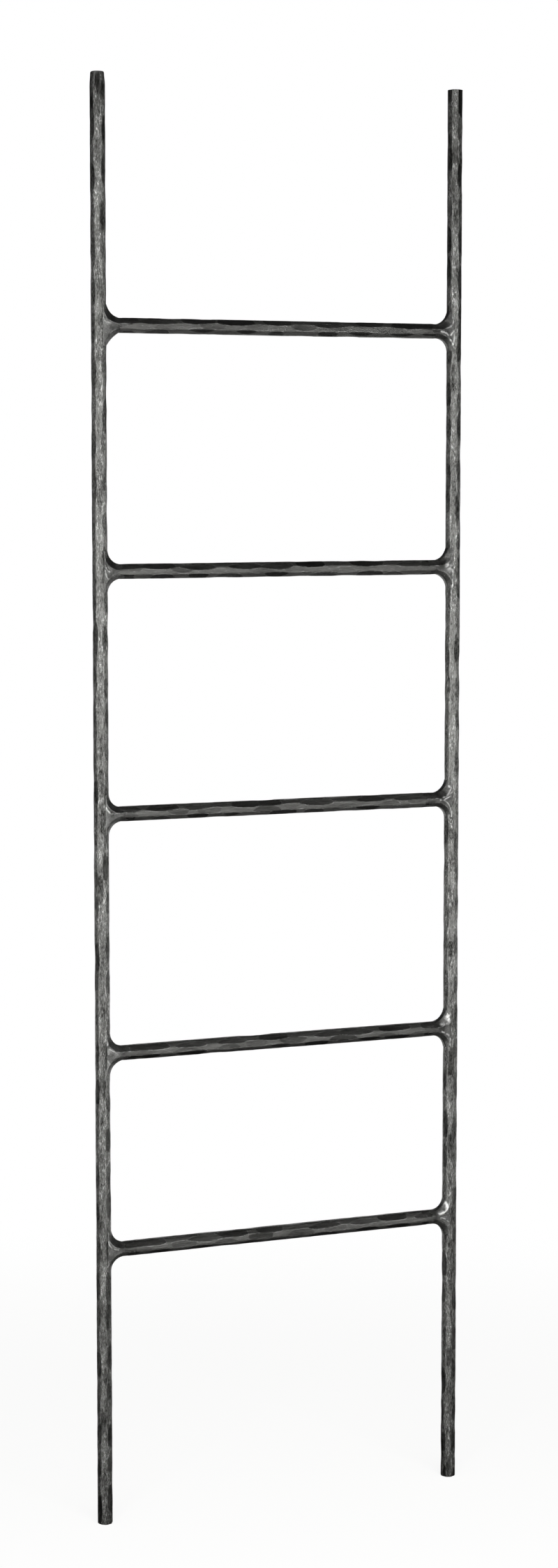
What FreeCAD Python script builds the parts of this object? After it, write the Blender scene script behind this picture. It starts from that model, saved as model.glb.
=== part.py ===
import FreeCAD, Part
import math
import os

# A blanket ladder of forged bar: two stiles, five rungs, and a dressed weld
# collar round both ends of every rung.  Millimetres; +Z runs up the stiles,
# +X to the right, the front faces -Y.  The origin is on the floor, midway
# between the stiles, on the centre of the bars.

# Driving dimensions
HEIGHT = 1828.8              # floor to the top of the stiles, 72 in
WIDTH = 508.0                # over the outer faces of the stiles, 20 in
BAR_ACROSS_FLATS = 18.8      # 3/4 in round bar forged to an octagon
RIDGE_WEAR = 0.45            # taken off the ridge between two flats
FIRST_RUNG_HEIGHT = 356.0    # floor to the axis of the lowest rung, about 14 in
FIRST_STEP = 253.0           # lowest rung to the second, about 10 in
RUNG_STEP = 304.0            # between the others, about 12 in
RUNG_COUNT = 5

RIM_CHAMFER = 1.2            # dressed edge round the ends of the stiles

WELD_RADIUS = 16.0           # fillet from a rung into its stile
WELD_NECK = 14.0             # weld that runs on along the rung, past the fillet
WELD_INSET = 0.3             # dressed weld lies this far under the bar's flats
FILLET_FLATS = 10            # flats that the dressing leaves round one fillet
BEVEL_ROOT_ACROSS = 12.0     # rung end across its flats where it meets the stile

BLOW_SPACING = 26.0          # between hammer blows along a bar
BLOW_DEPTH = 0.55            # deepest blow, measured under the bar's flats

# Worked out from the driving dimensions
FLATS = 8
SIDES = 2 * FLATS            # a flat, then the worn ridge that follows it
SIDE_ANGLE = 2 * math.pi / SIDES
BAR_APOTHEM = BAR_ACROSS_FLATS / 2
STILE_X = WIDTH / 2 - BAR_APOTHEM
WELD_APOTHEM = BAR_APOTHEM - WELD_INSET
BEND_RADIUS = BAR_APOTHEM + WELD_RADIUS
WELD_REACH = WELD_RADIUS + WELD_NECK
RUNG_LENGTH = 2 * (STILE_X - BAR_APOTHEM)
RUNG_HEIGHTS = [FIRST_RUNG_HEIGHT] + [
    FIRST_RUNG_HEIGHT + FIRST_STEP + RUNG_STEP * i for i in range(RUNG_COUNT - 1)]

GOLDEN_RATIO = (1 + math.sqrt(5)) / 2
X_AXIS = FreeCAD.Vector(1, 0, 0)
Y_AXIS = FreeCAD.Vector(0, 1, 0)


def scatter(index):
    """Evenly scattered values from 0 to 1, the same for the same index."""
    return (index * GOLDEN_RATIO) % 1


def blow_depth(station, flat, seed):
    """How far the hammer drove a flat in at a station, as a share of the most.

    A flat is struck at every other station, and its neighbours in between, so
    the long faces overlap like shingles.
    """
    if (station + flat) % 2 == 0:
        return scatter(seed + station * FLATS + flat)
    before = scatter(seed + (station - 1) * FLATS + flat)
    after = scatter(seed + (station + 1) * FLATS + flat)
    return (before + after) / 2


def section(flats, place):
    """The corners of a worn octagon, where each side meets the next.

    Flat k stands flats[k] from the axis and faces k eighths of a turn from the
    first direction of place, which turns (first, second) into a point.  The
    sharp ridge between two flats is worn back square to itself.
    """
    apothems = []
    for here, after in zip(flats, flats[1:] + flats[:1]):
        sharp_ridge = (here + after) / 2 / math.cos(SIDE_ANGLE)
        apothems += [here, sharp_ridge - RIDGE_WEAR]
    corners = []
    for side in range(SIDES):
        here = apothems[side]
        after = apothems[(side + 1) % SIDES]
        angle = side * SIDE_ANGLE
        along = (after - here * math.cos(SIDE_ANGLE)) / math.sin(SIDE_ANGLE)
        corners.append(place(here * math.cos(angle) - along * math.sin(angle),
                             here * math.sin(angle) + along * math.cos(angle)))
    return corners


def even_section(apothem, place):
    """A section with all its flats at one distance from the axis."""
    return section([apothem] * FLATS, place)


def plane_face(corners):
    """Plane face inside a loop of corners."""
    return Part.Face(Part.makePolygon(corners + corners[:1]))


def faceted_bar(sections):
    """Solid through parallel sections.

    The edges of a side are parallel from one section to the next, or lean alike
    in a bend, so every face is a true flat, as the hammer leaves it.
    """
    faces = [plane_face(sections[0]), plane_face(sections[-1])]
    for near, far in zip(sections, sections[1:]):
        for side in range(SIDES):
            faces.append(plane_face(
                [near[side - 1], near[side], far[side], far[side - 1]]))
    return Part.makeSolid(Part.makeShell(faces)).removeSplitter()


def stations(start, end):
    """Even places from start to end, about one hammer blow apart."""
    count = max(1, round((end - start) / BLOW_SPACING))
    return [start + (end - start) * i / count for i in range(count + 1)]


def hammered_sections(positions, seed, share, at):
    """Sections along a bar; share(position) fades the blows, at gives the frame."""
    sections = []
    for station, position in enumerate(positions):
        depth = BLOW_DEPTH * share(position)
        flats = [BAR_APOTHEM - depth * blow_depth(station, flat, seed)
                 for flat in range(FLATS)]
        sections.append(section(flats, at(position)))
    return sections


def joint_share(height):
    """No blow falls where a weld collar sits; they come back over one spacing."""
    clear = min(abs(height - rung) for rung in RUNG_HEIGHTS) - BEND_RADIUS
    return max(0.0, min(1.0, clear / BLOW_SPACING))


def stile_stations():
    """Places of the blows on a stile, run by run between the weld collars.

    Every collar starts and ends at a station, so the flat that its rung stands
    on is one plane.
    """
    places = []
    start = RIM_CHAMFER
    for height in RUNG_HEIGHTS:
        places += stations(start, height - BEND_RADIUS)
        start = height + BEND_RADIUS
    return places + stations(start, HEIGHT - RIM_CHAMFER)


def stile(side):
    """Upright forged bar, flat at both ends with a dressed rim."""
    x = side * STILE_X

    def at(height):
        return lambda first, second: FreeCAD.Vector(x + first, second, height)

    rim = BAR_APOTHEM - RIM_CHAMFER
    sections = [even_section(rim, at(0.0))]
    sections += hammered_sections(stile_stations(), (side + 2) * FLATS, joint_share, at)
    sections.append(even_section(rim, at(HEIGHT)))
    return faceted_bar(sections)


def rung(number, height):
    """Forged bar between the stiles, bevelled at both ends for its welds."""
    half = RUNG_LENGTH / 2
    toe = half - WELD_REACH

    def at(x):
        return lambda first, second: FreeCAD.Vector(x, second, height + first)

    def share(x):
        return max(0.0, min(1.0, (toe - abs(x)) / BLOW_SPACING))

    root = BEVEL_ROOT_ACROSS / 2
    sections = [even_section(root, at(-half))]
    sections += hammered_sections(stations(-toe, toe), number * FLATS * SIDES, share, at)
    sections.append(even_section(root, at(half)))
    return faceted_bar(sections)


def weld_bend(side, height, up):
    """Quarter bend that leads the bar's section from the stile into the rung.

    Its sections fan out round the centre of the fillet, so its inner flats are
    the fillet, and the slanted flats follow the fillet round.
    """
    centre = FreeCAD.Vector(side * (STILE_X - BEND_RADIUS), 0, height + up * BEND_RADIUS)

    def at(turn):
        outward = FreeCAD.Vector(side * math.cos(turn), 0, -up * math.sin(turn))
        return lambda first, second: (
            centre + outward * (BEND_RADIUS + first) + Y_AXIS * second)

    quarter = math.pi / 2
    return faceted_bar([even_section(WELD_APOTHEM, at(quarter * i / FILLET_FLATS))
                        for i in range(FILLET_FLATS + 1)])


def weld_neck(side, height):
    """Straight run of weld from inside the stile to past its toe on the rung."""
    x = side * STILE_X

    def place(first, second):
        return FreeCAD.Vector(x, second, height + first)

    end = plane_face(even_section(WELD_APOTHEM, place))
    return end.extrude(X_AXIS * (-side * (BAR_APOTHEM + WELD_REACH)))


def weld_web(side, height):
    """Filling of the hollow between the two bends, level with their front and back.

    Its slanted edges touch the middle line of both bends.
    """
    reach = BEND_RADIUS * (2 - math.sqrt(2))
    x = side * STILE_X
    corners = [FreeCAD.Vector(x, -WELD_APOTHEM, height + reach),
               FreeCAD.Vector(x - side * reach, -WELD_APOTHEM, height),
               FreeCAD.Vector(x, -WELD_APOTHEM, height - reach)]
    return plane_face(corners).extrude(Y_AXIS * (2 * WELD_APOTHEM))


def weld_collar(side, height, stile_bar, rung_bar):
    """Weld dressed to a flared tee, fitted to the stile and the bevelled rung."""
    bends = [weld_bend(side, height, up) for up in (1, -1)]
    tee = weld_neck(side, height).multiFuse(bends + [weld_web(side, height)])
    return tee.cut([stile_bar, rung_bar]).removeSplitter()


def build():
    """Every node of the ladder by name."""
    sides = {"left": -1, "right": 1}
    nodes = {name + "_stile": stile(side) for name, side in sides.items()}
    for number, height in enumerate(RUNG_HEIGHTS, start=1):
        bar = rung(number, height)
        nodes["rung_%d" % number] = bar
        for name, side in sides.items():
            nodes["weld_collar_%d_%s" % (number, name)] = weld_collar(
                side, height, nodes[name + "_stile"], bar)
    return nodes


os.makedirs("parts", exist_ok=True)
for node, shape in build().items():
    shape.exportStep("parts/%s.step" % node)
    box = shape.BoundBox
    print("%-22s solids %d valid %s faces %4d volume %10.1f  %.1f x %.1f x %.1f" % (
        node, len(shape.Solids), shape.isValid(), len(shape.Faces), shape.Volume,
        box.XLength, box.YLength, box.ZLength))
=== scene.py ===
"""Blanket ladder of hand-forged iron bar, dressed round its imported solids.

Two upright stiles and five rungs are bars that a hammer has worked to eight
flats.  A dressed weld collar leads each rung end into its stile.  Every piece
is a surface worked out on a grid; metres, +Z up, the front faces -Y.
"""
import logging
import math
from dataclasses import dataclass, field
from enum import Enum

import bpy
import numpy as np
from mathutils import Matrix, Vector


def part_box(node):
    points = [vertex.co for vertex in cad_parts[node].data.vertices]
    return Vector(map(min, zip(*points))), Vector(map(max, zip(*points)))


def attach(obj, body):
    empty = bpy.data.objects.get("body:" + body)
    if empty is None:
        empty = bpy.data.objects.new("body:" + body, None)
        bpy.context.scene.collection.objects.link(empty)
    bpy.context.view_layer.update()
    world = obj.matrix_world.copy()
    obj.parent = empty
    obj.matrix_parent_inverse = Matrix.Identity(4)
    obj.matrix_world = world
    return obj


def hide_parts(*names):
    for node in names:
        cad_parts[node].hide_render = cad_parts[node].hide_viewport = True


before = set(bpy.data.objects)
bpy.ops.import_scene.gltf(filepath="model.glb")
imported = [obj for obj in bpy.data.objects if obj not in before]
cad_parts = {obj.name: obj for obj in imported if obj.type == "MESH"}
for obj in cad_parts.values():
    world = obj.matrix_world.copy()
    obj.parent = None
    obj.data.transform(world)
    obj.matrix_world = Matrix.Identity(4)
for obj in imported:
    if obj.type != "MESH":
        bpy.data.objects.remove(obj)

Array = np.ndarray
Pair = tuple[float, float]
Socket = bpy.types.NodeSocket

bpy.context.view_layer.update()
MM = 0.001
EIGHTH = math.pi / 4
BODY = "root"
PIECE_LOG = "%-28s %6d faces, finish %s"

log = logging.getLogger("blanket_ladder")


class Side(Enum):
    """Which stile a piece belongs to, as the sign of its X."""

    LEFT = -1
    RIGHT = 1


class Run(Enum):
    """The way a bar runs, as its first, second and long directions."""

    UPRIGHT = ((1, 0, 0), (0, 1, 0), (0, 0, 1))
    LEVEL = ((0, 1, 0), (0, 0, 1), (1, 0, 0))


# ---- numpy helpers

def ease(values: Array) -> Array:
    """Smooth step from 0 to 1: three squares less two cubes of the clipped value.

    Args:
        values: Any array.

    Returns:
        The eased array.
    """
    share = np.clip(values, 0.0, 1.0)
    return share * share * (3.0 - 2.0 * share)


def roughness_field(points: Array, wavelength: float, seed: int,
                    waves: int = 14) -> Array:
    """Smooth, aimless unevenness of about unit height.

    The sum of plane waves with scattered directions, phases and lengths about
    one wavelength, divided by the root of half their number.

    Args:
        points: Points, the last axis being x, y, z.
        wavelength: Length of the mean wave, in the points' unit.
        seed: Seed of the directions and phases.
        waves: How many waves are summed.

    Returns:
        One height for each point.
    """
    rng = np.random.default_rng(seed)
    directions = rng.normal(size=(waves, 3))
    directions /= np.linalg.norm(directions, axis=1, keepdims=True)
    lengths = wavelength * rng.uniform(0.7, 1.5, waves)
    phases = rng.uniform(0.0, 2 * math.pi, waves)
    total = np.zeros(points.shape[:-1])
    for direction, length, phase in zip(directions, lengths, phases):
        total += np.sin(points @ direction * (2 * math.pi / length) + phase)
    return total / math.sqrt(waves / 2)


def box_of(node: str) -> tuple[Array, Array]:
    """Low and high corner of a solid's box, in millimetres."""
    low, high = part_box(node)
    return np.array(low) / MM, np.array(high) / MM


def add_object(name: str, data: bpy.types.ID) -> bpy.types.Object:
    """Puts a mesh, lamp or camera into the scene.

    Args:
        name: Name of the object.
        data: What it shows.

    Returns:
        The object.
    """
    added = bpy.data.objects.new(name, data)
    bpy.context.scene.collection.objects.link(added)
    return added


@dataclass
class Surface:
    """A closed tube of rings, with values that its finish reads.

    Attributes:
        points: Ring by ring, the points of the surface in metres.
        values: Named arrays with one value for each point.
    """

    points: Array
    values: dict[str, Array]

    def mesh(self, name: str) -> bpy.types.Mesh:
        """Faces between the rings, and a fan to a pole over each end.

        Ring i, place j is vertex i times the ring's length plus j; the two
        poles, the means of the end rings, come last.

        Args:
            name: Name of the mesh.

        Returns:
            The mesh, its faces outwards and smooth.
        """
        rings, around = self.points.shape[:2]
        index = np.arange(rings * around).reshape(rings, around)
        after = np.roll(index, -1, axis=1)
        quads = np.stack([index[:-1], after[:-1], after[1:], index[1:]], axis=-1)
        first, last = rings * around, rings * around + 1
        start = np.stack([after[0], index[0], np.full(around, first)], axis=-1)
        end = np.stack([index[-1], after[-1], np.full(around, last)], axis=-1)
        poles = [self.points[0].mean(axis=0), self.points[-1].mean(axis=0)]
        vertices = np.vstack([self.points.reshape(-1, 3), poles])
        faces = quads.reshape(-1, 4).tolist() + start.tolist() + end.tolist()
        mesh = bpy.data.meshes.new(name)
        mesh.from_pydata(vertices.tolist(), [], faces)
        for label, values in self.values.items():
            layer = mesh.attributes.new(label, "FLOAT", "POINT")
            flat = np.append(values.reshape(-1), [values[0].mean(), values[-1].mean()])
            layer.data.foreach_set("value", flat.astype(np.float32))
        mesh.polygons.foreach_set("use_smooth", np.ones(len(faces), bool))
        mesh.validate()
        mesh.update()
        return mesh


# ---- finishes

NOISE_SPAN = (0.3, 0.7)      # where nearly all values of a noise lie
WHOLE = (0.0, 1.0)
WHITE = (1.0, 1.0, 1.0, 1.0)


class Curve(Enum):
    """How a ramp runs from its start to its end."""

    STRAIGHT = "LINEAR"
    SMOOTH = "SMOOTHSTEP"


def hex_to_linear(code: str) -> tuple[float, float, float, float]:
    """Linear colour of an sRGB hex value.

    Args:
        code: Six hex digits after a hash.

    Returns:
        Red, green, blue and an alpha of 1.
    """
    parts = [int(code[i:i + 2], 16) / 255 for i in (1, 3, 5)]
    linear = [p / 12.92 if p <= 0.04045 else ((p + 0.055) / 1.055) ** 2.4 for p in parts]
    return (*linear, 1.0)


class Shading:
    """Node tree of a material or a world, built up from nothing."""

    def __init__(self, block: bpy.types.Material | bpy.types.World) -> None:
        """Empties the tree of a material or a world."""
        block.use_nodes = True
        self.tree = block.node_tree
        self.tree.nodes.clear()

    def add_node(self, kind: str, settings: dict | None = None,
                 inputs: dict | None = None) -> bpy.types.NodeOutputs:
        """Adds a node with its settings and what goes into its sockets.

        Args:
            kind: Type name of the node, after ShaderNode.
            settings: Properties of the node and their values.
            inputs: Sockets by name or number; each takes a value, or the output
                socket that is linked to it.

        Returns:
            The outputs of the new node.
        """
        node = self.tree.nodes.new("ShaderNode" + kind)
        for name, value in (settings or {}).items():
            setattr(node, name, value)
        for name, value in (inputs or {}).items():
            if isinstance(value, Socket):
                self.tree.links.new(value, node.inputs[name])
            else:
                node.inputs[name].default_value = value
        return node.outputs

    def ramp(self, value: Socket, span: Pair, result: Pair = WHOLE,
             curve: Curve = Curve.SMOOTH) -> Socket:
        """Carries a span of values to another one, and holds its ends beyond them."""
        return self.add_node(
            "MapRange", {"interpolation_type": curve.value},
            {"Value": value, "From Min": span[0], "From Max": span[1],
             "To Min": result[0], "To Max": result[1]})["Result"]

    def reckon(self, operation: str, first: Socket, second: Socket | float,
               clamp: bool = False) -> Socket:
        """Sum, product or the like of two values, clamped to 0 and 1 on request."""
        return self.add_node("Math", {"operation": operation, "use_clamp": clamp},
                             {0: first, 1: second})["Value"]

    def blend(self, share: Socket, start: Socket | tuple, end: tuple) -> Socket:
        """Colour that goes from start to end with the share."""
        return self.add_node("Mix", {"data_type": "RGBA"},
                             {"Factor": share, 6: start, 7: end})[2]

    def noise(self, place: Socket, width: float, detail: float, roughness: float) -> Socket:
        """Noise with specks of a width in millimetres."""
        return self.add_node("TexNoise", {}, {
            "Vector": place, "Scale": 1 / (width * MM), "Detail": detail,
            "Roughness": roughness})["Fac"]


@dataclass(frozen=True)
class IronFinish:
    """Forged iron, blackened hot, waxed, and rubbed back where hands and wire reach.

    The black scale keeps a dull dark skin in the hollows; the raised flats are
    rubbed to a pewter grey with fine lines along the bar, and the edges of the
    hammer flats to a brighter line.  The bright colour also paints highlights
    where glints stood, on the rims and on the weld's dressing marks.

    Attributes:
        name: Name of the material.
        scale_black: Colour of the blackened skin.
        pewter: Colour of the rubbed flats.
        bright: Colour of edges and nicks, and of painted highlights.
        grain: How much the rubbing lines are drawn out along X, Y and Z.
        line_width: Width of a rubbing line, in millimetres; real wire marks are
            about a tenth of this, too fine for the picture.
        mottle: Width of the patches of skin, in millimetres.
        bare: Tones between which skin gives way to bare metal.
        streaks: How far the lines change the rubbed share of bare metal.
        skin_streaks: Share of that on the skin.
        patches: How far the patches do.
        nicks: Height of the grain above which it is a nick.
        nick_rise: Rise of the grain over which a nick comes in.
        cluster: Heights of the patches between which nicks gather.
        stray_nicks: Share of the nicks elsewhere.
        edge_gaps: Heights of the patches between which an edge's line comes in.
        edge_dash: Heights of the grain between which it brightens.
        dashes: Share of the line that stays between its dashes.
        relief: Height of the lines, in millimetres.
        metallic: Share of bare metal under the wax.
        shine: Roughness of the rubbed metal.
        dull: Roughness of the skin.
    """

    name: str
    scale_black: str = "#282826"
    pewter: str = "#8c8c89"
    bright: str = "#f4f4f2"
    grain: tuple[float, float, float] = (1.0, 1.0, 0.2)
    line_width: float = 1.0
    mottle: float = 7.0
    bare: Pair = (0.3, 0.6)
    streaks: float = 0.78
    skin_streaks: float = 0.35
    patches: float = 0.32
    nicks: float = 0.54
    nick_rise: float = 0.08
    cluster: Pair = (0.46, 0.6)
    stray_nicks: float = 0.15
    edge_gaps: Pair = (0.3, 0.52)
    edge_dash: Pair = (0.36, 0.56)
    dashes: float = 0.4
    relief: float = 0.9
    metallic: float = 0.97
    shine: float = 0.29
    dull: float = 0.42

    def material(self) -> bpy.types.Material:
        """Builds the material.

        Returns:
            The material, which reads the values rubbed and ridge of its piece.
        """
        material = bpy.data.materials.new(self.name)
        tree = Shading(material)
        place = tree.add_node("TexCoord")["Object"]
        drawn = tree.add_node("Mapping", {"vector_type": "POINT"},
                              {"Vector": place, "Scale": self.grain})["Vector"]
        lines = tree.noise(drawn, self.line_width, detail=4.0, roughness=0.75)
        patches = tree.noise(drawn, self.mottle, detail=3.0, roughness=0.6)
        tone, edge_wear_and_glint = (tree.add_node("Attribute", {"attribute_name": label})["Fac"]
                       for label in ("rubbed", "edge_wear_and_glint"))
        bare = tree.ramp(tone, self.bare, curve=Curve.STRAIGHT)
        rubbed = self.rubbed_share(tree, tone, bare, lines, patches)
        # worn: rubbed edges and nicks, and painted highlights where glints stood
        worn = self.wear_and_glint_share(tree, edge_wear_and_glint, bare, lines, patches)
        metal = tree.blend(rubbed, hex_to_linear(self.scale_black),
                           hex_to_linear(self.pewter))
        colour = tree.blend(worn, metal, hex_to_linear(self.bright))
        rough = tree.ramp(rubbed, WHOLE, (self.dull, self.shine), Curve.STRAIGHT)
        normal = tree.add_node("Bump", {}, {
            "Height": lines, "Strength": 1.0, "Distance": self.relief * MM})["Normal"]
        iron = tree.add_node("BsdfPrincipled", {}, {
            "Base Color": colour, "Metallic": self.metallic, "Roughness": rough,
            "Normal": normal})["BSDF"]
        tree.add_node("OutputMaterial", {}, {"Surface": iron})
        return material

    def rubbed_share(self, tree: Shading, tone: Socket, bare: Socket, lines: Socket,
                     patches: Socket) -> Socket:
        """How far a place is rubbed: its tone, and patches and lines about their mean.

        Args:
            tree: The node tree.
            tone: Tone of the place.
            bare: How bare it is.
            lines: The grain.
            patches: The patches.

        Returns:
            Share from 0 to 1.
        """
        patchy = tree.ramp(patches, NOISE_SPAN, (-self.patches, self.patches),
                           Curve.STRAIGHT)
        drawn_out = tree.ramp(bare, WHOLE,
                              (self.skin_streaks * self.streaks, self.streaks),
                              Curve.STRAIGHT)
        line = tree.ramp(lines, NOISE_SPAN, (-1.0, 1.0), Curve.STRAIGHT)
        streaky = tree.reckon("MULTIPLY", line, drawn_out)
        uneven = tree.reckon("ADD", patchy, streaky)
        return tree.reckon("ADD", tone, uneven, clamp=True)

    def wear_and_glint_share(self, tree: Shading, edge_wear_and_glint: Socket, bare: Socket, lines: Socket,
                   patches: Socket) -> Socket:
        """How bright a place is worn and painted: the more of its nick and of its dashed
        edge, which carries painted highlights too.

        Args:
            tree: The node tree.
            edge_wear_and_glint: How much of a rubbed edge, and of a painted highlight, the
                place is.
            bare: How bare it is.
            lines: The grain.
            patches: The patches.

        Returns:
            Share from 0 to 1.
        """
        nick = tree.ramp(lines, (self.nicks, self.nicks + self.nick_rise))
        clustered = tree.ramp(patches, self.cluster, (self.stray_nicks, 1.0))
        nicked = tree.reckon("MULTIPLY", nick, tree.reckon("MULTIPLY", bare, clustered))
        edged = tree.ramp(patches, self.edge_gaps)
        dashed = tree.ramp(lines, self.edge_dash, (self.dashes, 1.0))
        dashed_edge_and_glint = tree.reckon("MULTIPLY", edge_wear_and_glint, tree.reckon("MULTIPLY", edged, dashed))
        return tree.reckon("MAXIMUM", dashed_edge_and_glint, nicked, clamp=True)


# forged iron, blackened and waxed; its rubbing lines run up the stiles
FORGED_UPRIGHT = IronFinish("forged_iron_upright")
# the same iron, with the lines along the rungs and fewer of them
FORGED_LEVEL = IronFinish("forged_iron_level", grain=(0.12, 1.0, 1.0), streaks=0.18,
                          patches=0.16, nicks=0.63, dashes=0.8, relief=0.7)
# weld metal ground and filed smooth, blackened with the rest
DRESSED_WELD = IronFinish("dressed_weld_iron", grain=(0.7, 0.7, 0.7), line_width=1.6,
                          mottle=12.0, pewter="#8a8a88", streaks=0.24, patches=0.2,
                          nicks=0.62, dashes=0.6, relief=0.7)


# ---- hammer work

@dataclass(frozen=True)
class Blow:
    """One blow of the hammer; lengths in millimetres, angles in radians.

    Attributes:
        place: Where it fell along the bar.
        turn: The way that it faces round the bar.
        depth: How deep it went.
        deeper: How much deeper its whole row lies.
        lean: Its slope along the bar.
        lip: Way from its place to its lip.
        tone: How bright its flat is rubbed, from 0 to 1.
    """

    place: float
    turn: float
    depth: float
    deeper: float
    lean: float
    lip: float
    tone: float


@dataclass(kw_only=True)
class HammerWork:
    """Overlapping flats that a hammer leaves on a round bar.

    Its rings stand at along, in millimetres, and its columns at the angles around.

    Each blow leaves a shallow trough: a plane across the bar that rises a
    little along it to both ends, and steeply at the lip where the hammer's
    edge bit.  The surface is the lowest of all of them, as each blow only
    takes away.

    Attributes:
        apothem: Way from the axis to an unworked flat, in millimetres.
        round_over: How far the round bar stands over its flats.
        rows: Rows of blows, each half a pitch on from the last.
        first_turn: Turn of the first row, in degrees.
        pitch: Mean length from blow to blow in a row.
        uneven: Scatter of a blow along its row, in pitches.
        reach: How far a blow reaches, in pitches.
        depth: Deepest blow.
        shallowest: Share of that depth in the shallowest blow.
        trough: Radius of a blow's rise along the bar.
        lean: Largest slope of a blow along the bar.
        turn: Scatter of a blow round the bar, in degrees.
        facing: Least cosine from its turn at which a blow counts.
        edge: Width over which an edge is worn round.
        lip_end: End of a blow that has its lip, as the sign of the way along.
        lip_place: Nearest and furthest lip, in pitches.
        lip_slope: Slope of the lip.
        line: Half the width of an edge's rubbed line.
        keen: Slope between flats at which their edge is rubbed in full.
        skin_tone: Tone of the bar's own skin.
        rolled: Rows struck at another turn and deeper, as degrees and millimetres.
        rubbed_rows: Whether the even (0) or the odd rows (1) were rubbed bright.
        dull_rows: Share of their tone that the other rows have.
    """

    apothem: float = 9.4
    round_over: float = 0.4
    rows: int = 8
    first_turn: float = 0.0
    pitch: float = 48.0
    uneven: float = 0.24
    reach: float = 1.5
    depth: float = 0.7
    shallowest: float = 0.15
    trough: float = 260.0
    lean: float = 0.010
    turn: float = 10.0
    facing: float = 0.35
    edge: float = 0.03
    lip_end: int = -1
    lip_place: Pair = (0.22, 0.6)
    lip_slope: float = 0.3
    line: float = 0.75
    keen: float = 0.5
    skin_tone: float = 0.8
    rolled: dict[int, Pair] = field(default_factory=dict)
    rubbed_rows: int = 0
    dull_rows: float = 0.35
    along: Array = field(init=False)
    around: Array = field(init=False)

    def strike(self, start: float, end: float, seed: int) -> list[Blow]:
        """Places the blows row by row, staggered like shingles, at uneven steps.

        Args:
            start: Where the bar starts, in millimetres along it.
            end: Where it ends.
            seed: Seed of the scatter.

        Returns:
            The blows, from a little before the bar to a little past it.
        """
        rng = np.random.default_rng(seed)
        per_row = int((end - start) / self.pitch) + 2 * math.ceil(self.reach)
        rows = np.arange(self.rows)[:, None]
        steps = np.arange(per_row)[None, :] - self.reach + 0.5 * (rows % 2)
        shape = steps.shape
        place = start + self.pitch * steps
        place = place + self.uneven * self.pitch * rng.uniform(-1, 1, shape)
        turn = (math.radians(self.first_turn) + rows * (2 * math.pi / self.rows)
                + math.radians(self.turn) * rng.uniform(-1, 1, shape))
        depth = self.depth * rng.uniform(self.shallowest, 1, shape)
        deeper = np.zeros(shape)
        for row, (more_turn, more_depth) in self.rolled.items():
            turn[row] += math.radians(more_turn)
            deeper[row] = more_depth
        lean = self.lean * rng.uniform(-1, 1, shape)
        lip = self.pitch * rng.uniform(*self.lip_place, shape)
        tone = (rng.uniform(0, 1, shape) + 1 - depth / self.depth) / 2
        tone *= np.where(rows % 2 == self.rubbed_rows, 1.0, self.dull_rows)
        columns = (place, turn, depth, deeper, lean, lip, tone)
        return [Blow(*values) for values in zip(*(column.ravel() for column in columns))]

    def octagon(self) -> Array:
        """Radius of the octagon: its apothem over the cosine from the nearest flat."""
        way = self.around - math.radians(self.first_turn) + EIGHTH / 2
        return self.apothem / np.cos(way % EIGHTH - EIGHTH / 2)

    def hammered(self, blows: list[Blow], fade: Array) -> tuple[Array, Array, Array]:
        """Radius, tone and edge of the hammered surface.

        A blow's plane stands at apothem - depth + lean t + t t / (2 trough)
        from the axis, plus the lip's slope times the way past the lip, t being
        the way along the bar from its place.  It meets the ray at an angle a
        from its turn at that over cos(a).  The radius is the soft minimum of
        all planes and of the round bar: minus edge times the log of the sum of
        exp(-radius / edge).  The way to the nearest edge is the gap between
        the two lowest planes over the gap's slope.

        Args:
            blows: The blows.
            fade: Share of the depth at each ring.

        Returns:
            Radius, mean tone of the flats that meet there, and how much of an
            edge the place is, from 0 to 1.
        """
        along = self.along
        shape = (along.size, self.around.size)
        round_radius = self.apothem + self.round_over
        lowest = np.minimum(round_radius, self.octagon()) * np.ones(shape)
        second = np.full(shape, round_radius + self.apothem)
        weight = np.exp(-(lowest - self.apothem) / self.edge)
        toned = self.skin_tone * weight
        for blow in blows:
            near = np.flatnonzero(np.abs(along - blow.place) < self.reach * self.pitch)
            if near.size == 0:
                continue
            rings = slice(near[0], near[-1] + 1)
            way = along[rings] - blow.place
            past = self.lip_slope * np.logaddexp(0.0, self.lip_end * way - blow.lip)
            plane = self.apothem - blow.deeper + fade[rings] * (
                blow.lean * way + way * way / (2 * self.trough) - blow.depth + past)
            cosine = np.cos(self.around - blow.turn)
            # a ray that faces away meets the plane far off, where it can't count
            radius = plane[:, None] / np.where(cosine > self.facing, cosine, 0.1)[None, :]
            second[rings] = np.minimum(second[rings], np.maximum(radius, lowest[rings]))
            lowest[rings] = np.minimum(lowest[rings], radius)
            share = np.exp(-(radius - self.apothem) / self.edge)
            weight[rings] += share
            toned[rings] += share * blow.tone
        radius = self.apothem - self.edge * np.log(weight)
        return radius, toned / weight, self.edges(second - lowest)

    def edges(self, gap: Array) -> Array:
        """How much of an edge each place is: keener where the gap rises steeply.

        Args:
            gap: Height of the second lowest plane over the lowest.

        Returns:
            Share from 0 to 1.
        """
        step = np.maximum(np.gradient(self.along), 0.1)[:, None]
        across = 2 * self.apothem * (self.around[1] - self.around[0])
        slope = np.hypot(np.gradient(gap, axis=0) / step,
                         (np.roll(gap, -1, axis=1) - np.roll(gap, 1, axis=1)) / across)
        near = np.clip(1 - gap / np.maximum(slope, 0.02) / self.line, 0, 1)
        return ease(slope / self.keen) * near


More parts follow.
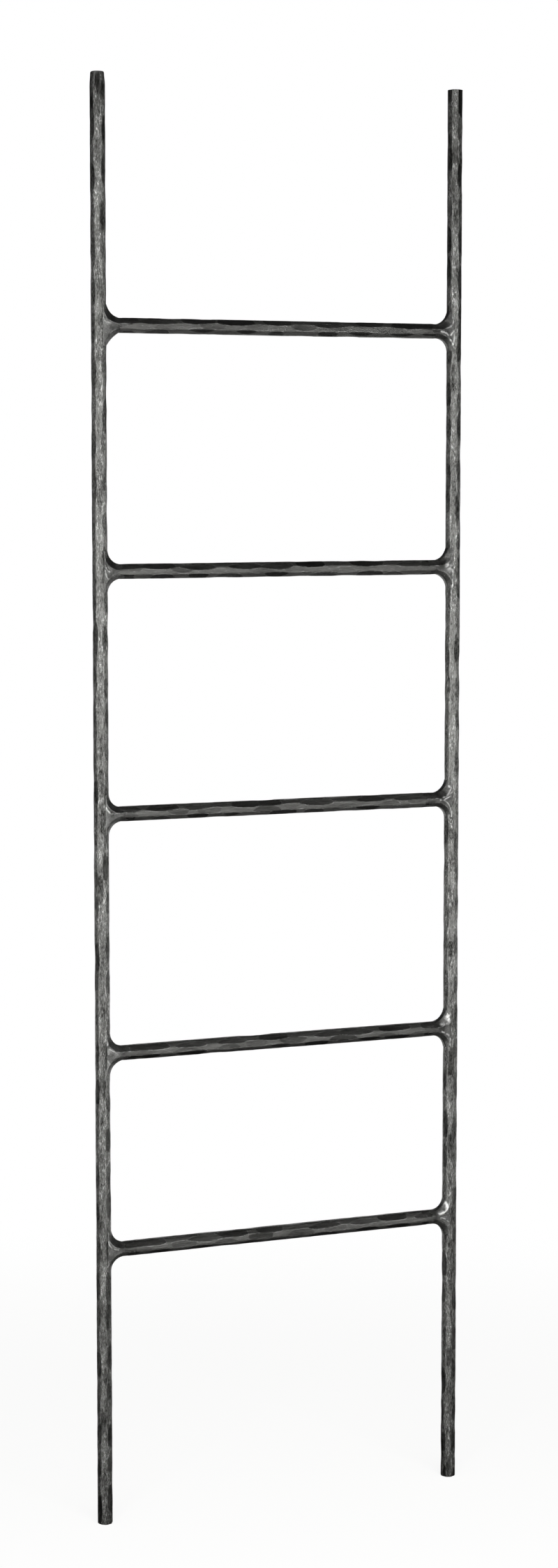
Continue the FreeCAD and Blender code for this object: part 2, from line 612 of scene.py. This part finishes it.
@dataclass(kw_only=True)
class ForgedBar(HammerWork):
    """A hammered bar along one axis, sized from the solid that it stands for.

    Attributes:
        node: Name of the solid.
        run: The way the bar runs.
        seed: Seed of its hammer work.
        finish: Its finish.
        columns: Points round the bar.
        spacing: Way between its rings, in millimetres.
        rims: Radii of the dressed rims of its first and last end.
        rim_rings: Rings round a rim.
        face_rings: Shares of the radius of the rings on an end face.
        taper: How much thinner its last end is forged.
        taper_reach: How far that reaches.
        stray: How far its axis strays from straight.
        stray_length: Length of the waves in which it does.
        true_ends: Way from an end over which it comes true.
        grit: Height of its skin's grit.
        grit_length: Width of the grit.
        rubbed: How far the dullest flat is rubbed back.
        rubbed_more: How much more the brightest one is.
        calm: Places along it where no blow falls.
        calm_reach: Half the length of a calm stretch.
        calm_ridge: Share of an edge's line that stays there.
        handled: Place along the bar where it is lighter, and the reach of that.
        lighter_stretch_more: How much lighter it is there.
        darker_ends: How much darker it is towards its ends.
        skin_reach: How far that reaches from the first and the last end.
    """

    node: str
    run: Run
    seed: int
    finish: IronFinish
    columns: int = 100
    spacing: float = 1.95
    rims: Pair = (1.4, 1.4)
    rim_rings: int = 5
    face_rings: tuple[float, ...] = (0.85, 0.6, 0.3)
    taper: float = 0.0
    taper_reach: float = 18.0
    stray: float = 0.08
    stray_length: float = 160.0
    true_ends: float = 60.0
    grit: float = 0.035
    grit_length: float = 4.0
    rubbed: float = 0.24
    rubbed_more: float = 0.7
    calm: list[float] = field(default_factory=list)
    calm_reach: float = 12.0
    calm_edge_wear_and_glint: float = 0.3
    handled: Pair = (1270.0, 330.0)
    lighter_stretch_more: float = 0.0
    darker_ends: float = 0.0
    skin_reach: Pair = (170.0, 60.0)

    def __post_init__(self) -> None:
        """Takes the bar's place and size from its solid."""
        low, high = box_of(self.node)
        first, second, along = (np.array(d, float) for d in self.run.value)
        self.basis = np.stack([first, second, along])
        self.centre = (low + high) / 2 * (1 - along)
        self.start, self.end = float(low @ along), float(high @ along)
        self.apothem = float((high - low) @ first) / 2
        self.along, self.shares = self.rings()
        self.around = np.arange(self.columns) * (2 * math.pi / self.columns)

    def rings(self) -> tuple[Array, Array]:
        """Places of the rings and how far each is drawn in, as a share.

        A rim is a quarter circle: drawn in by rim (1 - cos), carried on by
        rim sin; the flat end face has rings at shares of its radius.

        Returns:
            Places along the bar and shares of the radius.
        """
        first, last = self.rims
        count = max(2, round((self.end - self.start - first - last) / self.spacing))
        body = np.linspace(self.start + first, self.end - last, count + 1)
        turn = np.linspace(0, math.pi / 2, self.rim_rings + 1)[1:]
        ends = []
        for rim, end, way in ((first, self.start, -1), (last, self.end, 1)):
            share = 1 - rim * (1 - np.cos(turn)) / self.apothem
            face = share[-1] * np.array(self.face_rings)
            place = np.append(end - way * rim * (1 - np.sin(turn)), np.full(face.size, end))
            ends.append((place, np.append(share, face)))
        places = np.concatenate([ends[0][0][::-1], body, ends[1][0]])
        shares = np.concatenate([ends[0][1][::-1], np.ones(body.size), ends[1][1]])
        thinner = self.taper * ease((places - self.end) / self.taper_reach + 1)
        return places, shares * (1 - thinner / self.apothem)

    def fade(self) -> Array:
        """Share of the hammer work at each ring, which stops short of the calm places."""
        away = np.abs(self.along - np.array(self.calm)[:, None])
        return ease((away - self.calm_reach) / self.calm_reach).prod(axis=0)

    def wander(self) -> Array:
        """How far the axis strays from straight.

        Returns:
            Way in the first and the second direction for each ring, in millimetres.
        """
        line = self.along[:, None] * [1, 0, 0]
        ends = (ease((self.along - self.start) / self.true_ends)
                * ease((self.end - self.along) / self.true_ends))
        ways = [roughness_field(line, self.stray_length, self.seed + draw, 6) * ends
                for draw in (1, 2)]
        return self.stray * np.stack(ways, axis=-1)

    def surface(self) -> Surface:
        """Point = centre + axis + radius (first cos a + second sin a) on the grid.

        Returns:
            The bar's surface with its rubbing, its edges and the painted highlight round its
            rims.
        """
        fade = self.fade()
        blows = self.strike(self.start, self.end, self.seed)
        radius, tone, edge_wear_and_glint = self.hammered(blows, fade)
        ray = np.stack([np.cos(self.around), np.sin(self.around)], axis=-1)
        square = self.apothem / np.abs(ray).max(axis=-1)
        radius = np.minimum(radius, square[None, :])
        radius -= self.drop()
        flat = radius[:, :, None] * ray[None] * self.shares[:, None, None]
        flat += self.wander()[:, None, :]
        along = np.broadcast_to(self.along[:, None, None], flat.shape[:2] + (1,))
        local = np.concatenate([flat, along], axis=-1)
        drawn_out = local * [1, 1, 0.35]
        grit = self.grit * roughness_field(drawn_out, self.grit_length, self.seed + 3)
        local[:, :, :2] += (grit * self.shares[:, None])[:, :, None] * ray[None]
        points = (self.centre + local @ self.basis) * MM
        edge_wear_and_glint *= self.calm_edge_wear_and_glint + (1 - self.calm_edge_wear_and_glint) * fade[:, None]
        # the rims' line, rubbed wear and painted highlight
        edge_wear_and_glint = np.maximum(edge_wear_and_glint, self.rim_wear_and_glint(local))
        return Surface(points, {"rubbed": self.rubbing(tone), "edge_wear_and_glint": edge_wear_and_glint})

    def rim_wear_and_glint(self, local: Array) -> Array:
        """Bright line round both rims, patchy round the bar, from the bar's points: rubbed
        wear with a painted highlight where the rims' glints stood.
        """
        at_rim = np.maximum(ease(1 - (self.along - self.start) / (1.2 * self.rims[0])),
                            ease(1 - (self.end - self.along) / (1.2 * self.rims[1])))
        return 0.9 * at_rim[:, None] * ease(0.2 + roughness_field(local, 12.0, self.seed + 5))

    def drop(self) -> Array | float:
        """How far the surface lies under the hammered bar, in millimetres: nowhere."""
        return 0.0

    def rubbing(self, tone: Array) -> Array:
        """How far each place is rubbed back, from its flat's tone, lighter along a stretch
        and darker towards the ends.

        Args:
            tone: Tones of the flats.

        Returns:
            One share for each point.
        """
        place, reach = self.handled
        lighter_along = self.lighter_stretch_more * np.exp(-((self.along - place) / reach) ** 2)
        low, high = self.skin_reach
        lighter_along -= self.darker_ends * (1 - ease((self.along - self.start) / low))
        lighter_along -= self.darker_ends * (1 - ease((self.end - self.along) / high))
        return self.rubbed + self.rubbed_more * tone + lighter_along[:, None]

    def build(self) -> None:
        """Makes the piece and puts it in its solid's place."""
        place_piece("hammered_", self.node, self.surface(), self.finish)


@dataclass(kw_only=True)
class Rung(ForgedBar):
    """A level bar, bevelled inside its weld collars.

    Attributes:
        toe: Way from the stile to where the bevel starts, in millimetres.
        ragged: How far the bevel's start wanders round the bar.
        bevel: Slope of the bevel.
        clear: Way from the stile to the first full blow.
        painted_shade_below: How much darker its underside is painted, as painted shade.
    """

    spacing: float = 0.65
    rubbed: float = 0.16
    rubbed_more: float = 0.68
    pitch: float = 58.0
    rolled: dict[int, Pair] = field(default_factory=lambda: {3: (6.4, 0.5)})
    lip_end: int = 1
    toe: float = 21.5
    ragged: float = 4.0
    bevel: float = 0.113
    clear: float = 52.0
    painted_shade_below: float = 0.3

    def from_stile(self) -> Array:
        """Way of each ring from the nearer stile."""
        return np.minimum(self.along - self.start, self.end - self.along)

    def fade(self) -> Array:
        """Share of the hammer work: it comes in over the last part of the clear way."""
        return ease((self.from_stile() - 0.6 * self.clear) / (0.4 * self.clear))

    def drop(self) -> Array:
        """Bevel times the way inside the toe, which wanders round the bar.

        Returns:
            How far each point lies under the hammered bar, in millimetres.
        """
        toes = []
        for level in (0.0, 5.0):
            circle = np.stack([np.cos(self.around), np.sin(self.around),
                               np.full(self.around.size, level)], axis=-1)
            wander = roughness_field(circle, 1.0, self.seed + 4).clip(-1.4, 1.4)
            toes.append((self.toe + self.ragged * wander)[None, :])
        first_half = self.along[:, None] < (self.start + self.end) / 2
        inside = np.where(first_half, *toes) - self.from_stile()[:, None]
        return self.bevel * np.maximum(inside, 0.0)

    def rubbing(self, tone: Array) -> Array:
        """As for any bar, and darker on the underside: painted shade."""
        # painted shade on the rung's underside
        under = ease((-np.sin(self.around) - 0.35) / 0.15)
        return super().rubbing(tone) - self.painted_shade_below * under[None, :]


def place_piece(prefix: str, node: str, surface: Surface, finish: IronFinish) -> None:
    """Makes a piece of a surface and lets it stand for a solid.

    Args:
        prefix: What its name has before the solid's.
        node: The solid.
        surface: Its surface.
        finish: Its finish.
    """
    name = prefix + node
    piece = add_object(name, surface.mesh(name))
    piece.data.materials.append(bpy.data.materials.get(finish.name) or finish.material())
    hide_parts(node)
    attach(piece, BODY)
    log.info(PIECE_LOG, name, len(piece.data.polygons), finish.name)


# ---- weld collar

LADDER_RUNGS = 5
PATH_STEPS = 12              # points of a mark's path for each place in its table


@dataclass(frozen=True)
class MarkAndGlint:
    """A raised mark that the dressing of a weld left, rubbed bright and painted as a glint.

    Attributes:
        path: Places along it, as ways out from the stile's axis and up from the
            rung's, in millimetres.
        light: How bright it is rubbed and painted as a glint, from 0 to 1.
        width: Half its width, in millimetres.
        rise: How far it stands up, in millimetres.
    """

    path: tuple[Pair, ...]
    light: float = 0.7
    width: float = 0.9
    rise: float = 0.3

    def nearness(self, out: Array, up: Array) -> Array:
        """Exp of minus the squared way to the path over the width, for each place.

        The path is the polynomial through its places, taken at even steps.

        Args:
            out: Ways out from the stile's axis.
            up: Ways up from the rung's axis.

        Returns:
            Nearness from 0 to 1.
        """
        places = np.array(self.path, float)
        knots = np.arange(len(places))
        steps = np.linspace(0, knots[-1], PATH_STEPS * len(places))
        curve = [np.polyval(np.polyfit(knots, column, knots[-1]), steps)
                 for column in places.T]
        square = np.full(out.shape, np.inf)
        for x, z in zip(*curve):
            square = np.minimum(square, (out - x) ** 2 + (up - z) ** 2)
        return np.exp(-square / self.width ** 2)


# dressing marks at each joint: raised relief, rubbed, with painted highlights where glints
# stood
DRESSING_MARKS_AND_GLINTS: dict[tuple[int, Side], tuple[MarkAndGlint, ...]] = {
    (5, Side.RIGHT): (
        MarkAndGlint(((17, 4.8), (10, 5.6), (6, 9), (5, 13)), 0.7),
        MarkAndGlint(((22, -0.3), (14, -3), (9.5, -9), (6, -17)), 1.0, 1.1),
        MarkAndGlint(((10, -6.3), (4, 0.5)), 0.9, 1.1),
        MarkAndGlint(((3.8, 1.4), (3.4, -7), (5, -16.6)), 0.9)),
    (4, Side.RIGHT): (
        MarkAndGlint(((9.5, 3), (7.5, 0)), 1.0, 4.2, 0.5),
        MarkAndGlint(((5, -1.7), (3.6, -6.8), (4, -18), (5, -28)), 1.0, 1.3)),
    (3, Side.RIGHT): (
        MarkAndGlint(((20, 0), (10, -3.8), (4, -14.9), (5, -24)), 0.8, 0.9),
        MarkAndGlint(((16, 3), (8, 9), (7, 17.6)), 0.9, 1.1),
        MarkAndGlint(((12, 3.9), (4, 9)), 1.0),
        MarkAndGlint(((14, 0.5), (5, 4.6)), 0.9)),
    (2, Side.RIGHT): (
        MarkAndGlint(((7.6, 20), (6.5, 13), (5, 6.5)), 1.0, 2.8, 0.45),
        MarkAndGlint(((17, 6.4), (10, 6.6), (5, 6.5)), 0.9, 1.6),
        MarkAndGlint(((16, -3.8), (6.4, -8.9), (3.8, -14), (4.2, -22)), 1.0, 1.0)),
    (1, Side.RIGHT): (
        MarkAndGlint(((8.4, 18), (7.1, 11.1), (10.8, 7.4), (18.2, 5.1)), 1.0, 2.0, 0.5),
        MarkAndGlint(((16.4, -0.9), (8, -4.3), (4, -10.3)), 0.9, 0.8)),
    (5, Side.LEFT): (MarkAndGlint(((3.6, 13.8), (4.6, 5.6), (13.2, 2.7)), 0.4),),
    (4, Side.LEFT): (
        MarkAndGlint(((3.4, 15), (4.5, 7), (9.5, 0)), 0.9),
        MarkAndGlint(((4, 2), (5, -4), (8, -9)), 0.5, 1.0)),
    (3, Side.LEFT): (
        MarkAndGlint(((3.4, 10), (6.8, 4.6), (12.8, 1.7)), 1.0, 1.2, 0.5),
        MarkAndGlint(((12.8, 0.9), (24, 2.2), (38, 2.6)), 0.7)),
    (2, Side.LEFT): (
        MarkAndGlint(((3.6, 15.5), (6, 7.9), (14.9, 1.9)), 0.8),
        MarkAndGlint(((4, -8), (6, -12)), 0.4, 1.6)),
    (1, Side.LEFT): (MarkAndGlint(((3.4, 13), (7, 5.1), (16.4, 0.9)), 0.8),),
}


@dataclass
class WeldCollar:
    """Weld metal dressed to a flared tee between a rung and its stile.

    Attributes:
        rung: Number of the rung, 1 being the lowest.
        side: The stile that it joins.
        inset: How far it lies under the bars' flats, in millimetres.
        fillet: Radius of the fillet into the stile.
        neck: Weld that runs on along the rung.
        flare_rings: Rings round the fillet.
        neck_rings: Rings along the neck.
        columns: Points across half of its section.
        web_columns: Points down each web line.
        wear: Width over which an edge is worn round.
        line: Half the width of an edge's rubbed line.
        lights: Light of that line above and below the rung.
        filled: How far the fillets above and below the rung are filled from
            their arc towards a straight bevel, from 0 to 1.
        rolled: How far the upper fillet's slanted flat reaches into the front,
            half way round the fillet and on the neck.
        rubbed: How far the weld is rubbed back.
        rubbed_uneven: How much that varies.
        rubbed_marks_and_glints: How much more the marks are rubbed back, part of their
            painted highlight.
        rubbed_root: How much more it is by the stile.
        root_reach: Ways out between which that fades.
        tuck: Share by which the web draws in behind the stile's flat.
        unevenness: Height of what the file left.
    """

    rung: int
    side: Side
    inset: float = 0.3
    fillet: float = 16.0
    neck: float = 14.0
    flare_rings: int = 56
    neck_rings: int = 22
    columns: int = 72
    web_columns: int = 52
    wear: float = 0.06
    line: float = 0.8
    lights: Pair = (0.6, 0.3)
    filled: Pair = (0.0, 0.0)
    rolled: Pair = (2.6, 1.4)
    rubbed: float = 0.46
    rubbed_uneven: float = 0.1
    rubbed_marks_and_glints: float = 0.35
    rubbed_root: float = 0.26
    root_reach: Pair = (2.0, 16.0)
    tuck: float = 0.25
    unevenness: float = 0.12

    def __post_init__(self) -> None:
        """Takes place and size from the bars that the collar joins."""
        self.node = "weld_collar_%d_%s" % (self.rung, self.side.name.lower())
        low, high = box_of(self.side.name.lower() + "_stile")
        self.stile_x = float(low[0] + high[0]) / 2
        self.bar = float(high[0] - low[0]) / 2
        low, high = box_of("rung_%d" % self.rung)
        self.height = float(low[2] + high[2]) / 2
        self.bend = self.bar + self.fillet
        self.apothem = self.bar - self.inset
        self.seed = 400 + 10 * self.rung + self.side.value
        self.half_turn = np.linspace(-math.pi / 2, math.pi / 2, self.columns)[None, :]
        self.turn, self.out, self.up = self.sweep()
        most, least = self.rolled
        share = np.minimum(self.turn / (math.pi / 2), 1)
        self.reach_in = least * share + (most - least / 2) * np.sin(math.pi * share)

    def half_sections(self, reach: Array) -> Array:
        """Halves of worn octagons, as ways towards the fillet and to the front.

        The radius is the soft minimum of planes an eighth turn apart, at the
        bar's apothem less the inset, and of the round bar.  The slanted plane
        at the front runs from the fillet's corner to the front's corner, which
        its reach moves in.

        Args:
            reach: How far the front slanted flat reaches in, ring by ring.

        Returns:
            Points from the front middle over the fillet side to the back middle,
            ring by ring.
        """
        corner = self.apothem * math.tan(math.pi / 8)
        share = np.exp(-0.4 / self.wear) * np.ones((reach.size, self.columns))
        for flat in range(-2, 3):
            turn, distance = np.full((1, 1), flat * EIGHTH), self.apothem
            if flat == -1:
                rise, across = self.apothem - corner, self.apothem - corner + reach[:, None]
                turn = -np.arctan2(across, rise)
                distance = (self.apothem * rise + corner * across) / np.hypot(rise, across)
            away = np.cos(self.half_turn - turn)
            facing = away > 0.3
            radius = distance / np.where(facing, away, 1.0)
            share += np.exp(-(radius - self.apothem) / self.wear) * facing
        radius = self.apothem - self.wear * np.log(share)
        return np.stack([radius * np.cos(self.half_turn), radius * np.sin(self.half_turn)],
                        axis=-1)

    def sweep(self) -> tuple[Array, Array, Array]:
        """Turns and places of the sections, round the fillet and along the neck.

        At a turn t the upper half section's own axis is at
        (bend (1 - cos t), bend (1 - sin t)) from the stile's and the rung's axes,
        and it faces the fillet's centre.

        Returns:
            Turns, ways out from the stile's axis and ways up from the rung's.
        """
        turn = np.linspace(0, math.pi / 2, self.flare_rings)
        run = np.linspace(0, self.neck, self.neck_rings + 1)[1:]
        out = np.append(self.bend * (1 - np.cos(turn)), self.bend + run)
        up = np.append(self.bend * (1 - np.sin(turn)), np.zeros_like(run))
        return np.append(turn, np.full(run.size, math.pi / 2)), out, up

    def tee(self) -> Array:
        """Joins the upper and the lower half sections, front and back, by web lines.

        The lower half mirrors the upper one.  A filled fillet is moved out from
        its arc, towards the straight line between the arc's ends.

        Returns:
            Points as the ways out, back and up from the joint's middle.
        """
        bevel = 1 - math.cos(EIGHTH) / np.cos(self.turn - EIGHTH)
        bevel[self.flare_rings:] = 0.0
        halves = []
        for filled, rolled in zip(self.filled, (self.reach_in, 0 * self.reach_in)):
            half = self.half_sections(rolled)
            fill = (filled * self.fillet * bevel)[:, None] * half[..., 0] / self.bar
            reach = half[..., 0] + fill
            out = self.out[:, None] + reach * np.cos(self.turn)[:, None]
            rise = self.up[:, None] + reach * np.sin(self.turn)[:, None]
            halves.append(np.stack([out, half[..., 1], rise], axis=-1))
        upper = halves[0]
        lower = (halves[1] * [1, 1, -1])[:, ::-1]
        share = np.linspace(0, 1, self.web_columns + 2)[1:-1, None]
        back_web = upper[:, -1:] * (1 - share) + lower[:, :1] * share
        front_web = lower[:, -1:] * (1 - share) + upper[:, :1] * share
        return np.concatenate([upper, back_web, lower, front_web], axis=1)

    def surface(self) -> Surface:
        """The dressed tee with its marks and their painted highlights, put in its place on
        its side.

        Returns:
            The collar's surface with its rubbing, its edges and the marks' painted
            highlights.
        """
        local = self.dress(self.tee())
        light, height = self.marks_and_glints(local)
        local[..., 1] -= height
        sign = -self.side.value
        points = np.stack([self.stile_x + sign * local[..., 0], local[..., 1],
                           self.height + local[..., 2]], axis=-1)
        # the marks' light is rubbing and painted highlight, carried with the edges
        edge = np.maximum(self.edge_line(points), light)
        start, end = self.root_reach
        tone = self.rubbed + self.rubbed_uneven * roughness_field(points, 14.0, self.seed)
        # the marks are rubbed further back, which brightens their painted highlights
        tone += self.rubbed_marks_and_glints * light
        tone += self.rubbed_root * (1 - ease((local[..., 0] - start) / (end - start)))
        if sign > 0:
            points, edge, tone = points[:, ::-1], edge[:, ::-1], tone[:, ::-1]
        return Surface(points * MM, {"rubbed": tone, "edge_wear_and_glint": edge})

    def marks_and_glints(self, local: Array) -> tuple[Array, Array]:
        """Light and height of the dressing marks on the front and the back; the light is
        rubbing and painted highlight.

        The back of a collar has the marks of the opposite collar of its stile.

        Args:
            local: Points as the ways out, back and up from the joint's middle.

        Returns:
            How bright each place is rubbed and painted as a glint, and how far it stands up
            to the front.
        """
        light = np.zeros(local.shape[:-1])
        height = np.zeros(local.shape[:-1])
        broken = ease(0.9 + 0.5 * roughness_field(local, 6.0, self.seed + 3))
        opposite = LADDER_RUNGS + 1 - self.rung
        for number, front in ((self.rung, 1), (opposite, -1)):
            facing = ease(-front * local[..., 1] / 4.0 - 0.6)
            for mark in DRESSING_MARKS_AND_GLINTS[number, self.side]:
                near = mark.nearness(local[..., 0], local[..., 2]) * facing
                light = np.maximum(light, mark.light * near * broken)
                height += front * mark.rise * near
        return light, height

    def edge_line(self, points: Array) -> Array:
        """Rubbed line along the edge between the front flat and the fillet's slanted one.

        One less the way round the section to that edge over the line's width,
        patchy, and fainter below the rung.

        Args:
            points: The collar's points, ring by ring, in millimetres.

        Returns:
            Share from 0 to 1 for each point.
        """
        lines = []
        for reach, light in zip((self.reach_in, 0 * self.reach_in), self.lights):
            corner = np.arctan2(-self.apothem,
                                self.apothem * math.tan(math.pi / 8) - reach)[:, None]
            way = np.abs(self.half_turn - corner) * self.bar
            lines.append(light * np.clip(1 - way / self.line, 0, 1))
        none = np.zeros((self.turn.size, self.web_columns))
        around = np.concatenate([lines[0], none, lines[1][:, ::-1], none], axis=1)
        return around * ease(0.35 + 0.8 * roughness_field(points, 9.0, self.seed + 2))

    def dress(self, local: Array) -> Array:
        """Tucks the web in behind the stile's flat and adds the file's unevenness.

        Args:
            local: Points as the ways out, back and up from the joint's middle.

        Returns:
            The dressed points.
        """
        tucked = 1 - ease((local[..., 0] - 1.0) / 2.4)
        bumps = roughness_field(local, 11.0, self.seed + 1)
        dressed = local.copy()
        dressed[..., 1] *= 1 - self.tuck * tucked
        dressed[..., 1] += self.unevenness * bumps * np.sign(local[..., 1])
        return dressed

    def build(self) -> None:
        """Makes the piece and puts it in its solid's place."""
        place_piece("dressed_", self.node, self.surface(), DRESSED_WELD)


# ---- studio

@dataclass
class Studio:
    """Pale floor, one softbox, plain room and the camera.

    Attributes:
        eye: Where the camera stands, in metres.
        heading: Turn of the view from +Y towards -X, in degrees.
        dip: How far the view looks down, in degrees.
        image_height: The photograph's height, in pixels.
        focal_pixels: Its focal length, in pixels.
        sensor: Height of the sensor, in millimetres.
        lamp_place: Where the softbox stands, in metres.
        lamp_aim: Where it points.
        lamp_size: Its width and height.
        lamp_power: Its power, in watts.
        floor_reach: Half the width of the floor.
        floor_colour: Colour of the floor.
        floor_lift: White that the camera sees on the floor besides its light.
        floor_ends: Ways from the ladder between which the floor turns white.
        floor_behind: Ways behind the ladder between which gloss sees it white.
        room_behind: The same for the room, as cosines from the view.
        room: Grey of the room behind the camera.
        dark: Grey of the room beside the ladder.
        room_turn: Cosines from the view between which one becomes the other.
    """

    eye: tuple[float, float, float] = (-1.6031, -3.7081, 1.3447)
    heading: float = -23.353
    dip: float = 5.692
    image_height: float = 2248.0
    focal_pixels: float = 4537.8
    sensor: float = 36.0
    lamp_place: tuple[float, float, float] = (-1.2, -4.0, 1.0)
    lamp_aim: tuple[float, float, float] = (0.0, 0.0, 1.0)
    lamp_size: Pair = (5.0, 0.5)
    lamp_power: float = 140.0
    floor_reach: float = 9.0
    floor_colour: str = "#b8b8b6"
    floor_lift: float = 0.86
    floor_ends: Pair = (0.5, 1.6)
    floor_behind: Pair = (0.4, 1.2)
    room_behind: Pair = (0.95, 0.99)
    room: float = 0.18
    dark: float = 0.05
    room_turn: Pair = (-0.6, 0.2)

    def build(self) -> None:
        """Sets up everything that isn't the ladder."""
        self.camera()
        self.floor()
        self.world()
        self.softbox()
        bpy.context.scene.view_settings.view_transform = "Standard"

    def camera(self) -> None:
        """Camera at the photograph's place, found from the joints' places in it."""
        data = bpy.data.cameras.new("camera")
        data.sensor_fit = "VERTICAL"
        data.sensor_height = self.sensor
        data.lens = self.focal_pixels / self.image_height * self.sensor
        camera = add_object("camera", data)
        camera.location = self.eye
        camera.rotation_euler = (math.radians(90 - self.dip), 0, math.radians(self.heading))
        bpy.context.scene.camera = camera

    def softbox(self) -> None:
        """Soft rectangular lamp that faces the middle of the ladder."""
        data = bpy.data.lights.new("key_softbox", "AREA")
        data.shape = "RECTANGLE"
        data.size, data.size_y = self.lamp_size
        data.energy = self.lamp_power
        lamp = add_object("key_softbox", data)
        lamp.visible_camera = False
        lamp.location = self.lamp_place
        ray = np.array(self.lamp_aim) - np.array(self.lamp_place)
        lamp.rotation_euler = (math.atan2(math.hypot(ray[0], ray[1]), -ray[2]), 0,
                               math.atan2(ray[1], ray[0]) - math.pi / 2)

    def floor(self) -> None:
        """Plain pale floor that runs out into the white of the background."""
        mesh = bpy.data.meshes.new("studio_floor")
        reach = self.floor_reach
        mesh.from_pydata([(-reach, -reach, 0), (reach, -reach, 0), (reach, reach, 0),
                          (-reach, reach, 0)], [], [(0, 1, 2, 3)])
        floor = add_object("studio_floor", mesh)
        floor.data.materials.append(self.floor_material())

    def floor_material(self) -> bpy.types.Material:
        """Pale matt floor near the feet, plain white further off.

        Returns:
            The material.
        """
        material = bpy.data.materials.new("pale_studio_floor")
        tree = Shading(material)
        place = tree.add_node("TexCoord")["Object"]
        distance = tree.add_node("VectorMath", {"operation": "LENGTH"}, {0: place})["Value"]
        far = tree.ramp(distance, self.floor_ends)
        seen = self.background_share(tree, self.way_ahead(tree, place), self.floor_behind)
        matt = tree.add_node("BsdfDiffuse", {},
                             {"Color": hex_to_linear(self.floor_colour)})["BSDF"]
        lift = tree.reckon("MULTIPLY", seen, self.floor_lift)
        glow = tree.add_node("Emission", {}, {"Strength": lift})["Emission"]
        near = tree.add_node("AddShader", {}, {0: matt, 1: glow})["Shader"]
        white = tree.add_node("Emission")["Emission"]
        mixed = tree.add_node("MixShader", {}, {0: tree.reckon("MULTIPLY", far, seen),
                                                1: near, 2: white})["Shader"]
        tree.add_node("OutputMaterial", {}, {"Surface": mixed})
        return material

    def way_ahead(self, tree: Shading, place: Socket) -> Socket:
        """Way of a place or direction along the level line of the photograph's view."""
        turn = math.radians(self.heading)
        return tree.add_node("VectorMath", {"operation": "DOT_PRODUCT"},
                             {0: place, 1: (-math.sin(turn), math.cos(turn), 0.0)})["Value"]

    def background_share(self, tree: Shading, ahead: Socket,
                         span: Pair) -> Socket:
        """How much of the white background a ray sees.

        The camera sees all of it, gloss and glass the part behind the ladder.

        Args:
            tree: The node tree.
            ahead: Way ahead of the place or direction that the ray meets.
            span: Ways ahead where the white starts and where it is full.

        Returns:
            Share from 0 to 1.
        """
        path = tree.add_node("LightPath")
        gloss = tree.reckon("MAXIMUM", path["Is Glossy Ray"], path["Is Transmission Ray"])
        gloss_white = tree.reckon("MULTIPLY", gloss, tree.ramp(ahead, span))
        return tree.reckon("MAXIMUM", path["Is Camera Ray"], gloss_white)

    def world(self) -> None:
        """White all round for the camera; gloss sees a grey room beside the ladder."""
        world = bpy.data.worlds.new("studio_room")
        bpy.context.scene.world = world
        tree = Shading(world)
        look = tree.add_node("TexCoord")["Generated"]
        ahead = self.way_ahead(tree, look)
        grey = tree.ramp(ahead, self.room_turn, (self.room, self.dark), Curve.STRAIGHT)
        room, white = (tree.add_node("Background", {}, {"Color": WHITE, "Strength": level})
                       ["Background"] for level in (grey, 1.0))
        share = self.background_share(tree, ahead, self.room_behind)
        mixed = tree.add_node("MixShader", {}, {0: share, 1: room, 2: white})["Shader"]
        tree.add_node("OutputWorld", {}, {"Surface": mixed})


# ---- ladder

# what sets each stile's forging apart
STILE_FORGING: dict[Side, dict[str, float | Pair]] = {
    Side.LEFT: {"first_turn": 20.0, "rubbed_rows": 1, "rims": (1.6, 2.6), "taper": 0.9,
                "handled": (1400.0, 260.0), "skin_reach": (170.0, 150.0)},
    Side.RIGHT: {"first_turn": -23.0, "rubbed_rows": 0, "rims": (1.4, 0.8), "taper": 0.0,
                 "handled": (980.0, 360.0), "skin_reach": (170.0, 320.0)},
}


@dataclass
class Ladder:
    """The whole ladder: stiles, rungs and the collars between them.

    Attributes:
        lighter_stretch_more: How much lighter the stiles are along a stretch.
        darker_ends: How much darker they are towards their ends.
        full_fillets: Most that a fillet is filled where nothing else is seen.
        top_left_fillets: How far those above and below the top left joint are.
    """

    lighter_stretch_more: float = 0.22
    darker_ends: float = 0.24
    full_fillets: float = 0.3
    top_left_fillets: Pair = (0.35, 0.75)

    def heights(self) -> list[float]:
        """Heights of the rungs' axes, in millimetres."""
        boxes = [box_of("rung_%d" % n) for n in range(1, LADDER_RUNGS + 1)]
        return [float(low[2] + high[2]) / 2 for low, high in boxes]

    def build(self) -> None:
        """Builds every piece in order."""
        for side, forging in STILE_FORGING.items():
            ForgedBar(node=side.name.lower() + "_stile", run=Run.UPRIGHT,
                      seed=100 + side.value, finish=FORGED_UPRIGHT, calm=self.heights(),
                      lighter_stretch_more=self.lighter_stretch_more, darker_ends=self.darker_ends,
                      **forging).build()
        for number in range(1, LADDER_RUNGS + 1):
            Rung(node="rung_%d" % number, run=Run.LEVEL, seed=200 + 10 * number,
                 finish=FORGED_LEVEL).build()
            for side in Side:
                WeldCollar(number, side, filled=self.fillings(number, side)).build()

    def fillings(self, number: int, side: Side) -> Pair:
        """How full the welder left the fillets above and below a rung's end.

        Args:
            number: Number of the rung.
            side: Its end.

        Returns:
            Two shares, from the arc (0) to a straight bevel (1).
        """
        if (number, side) == (LADDER_RUNGS, Side.LEFT):
            return self.top_left_fillets
        rng = np.random.default_rng(10 * number + side.value)
        above, below = rng.uniform(0, self.full_fillets, 2)
        return (float(above), float(below))


def main() -> None:
    """Builds the ladder and the studio round it."""
    logging.basicConfig(level=logging.INFO, format="%(message)s")
    Ladder().build()
    Studio().build()


if __name__ == "__main__":
    main()
